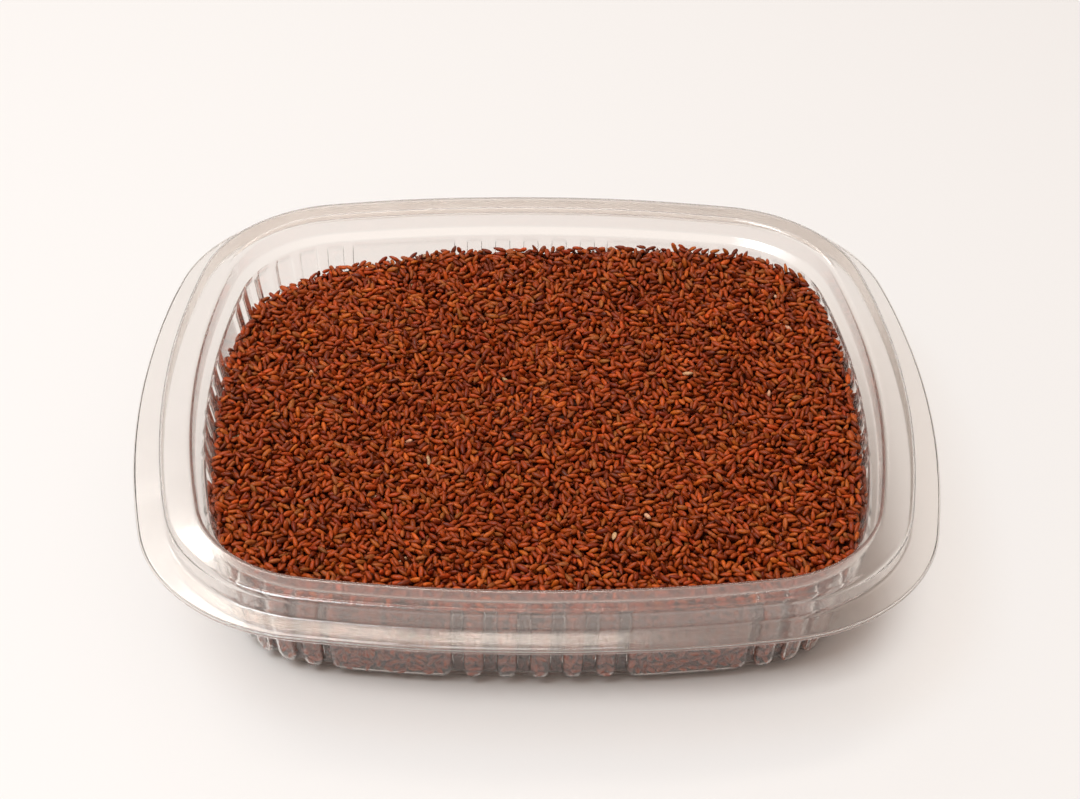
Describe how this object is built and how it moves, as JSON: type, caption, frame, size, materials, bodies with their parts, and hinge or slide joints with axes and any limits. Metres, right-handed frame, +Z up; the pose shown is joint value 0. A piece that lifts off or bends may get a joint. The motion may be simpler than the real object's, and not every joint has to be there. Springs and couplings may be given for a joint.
{
  "type": "dish of garden cress seeds",
  "caption": "Shallow clear plastic tub with rounded corners, fluted wall and raised sealing rim, filled with small reddish-brown cress seeds.",
  "frame": {"origin": "middle of the tub's flat underside", "axes": "+X along the tub's longer side, -Y is the front as pictured, +Z up out of the open top"},
  "size_m": [0.1602, 0.1476, 0.0308],
  "materials": {
    "clear_plastic": "thin clear thermoformed sheet, glossy, slightly hazy",
    "seeds": "dry reddish-brown seeds, satin skins (wood stands in for dry seed)"
  },
  "bodies": {
    "root": {"tub": "clear_plastic", "seeds": "seeds"}
  },
  "joints": []
}
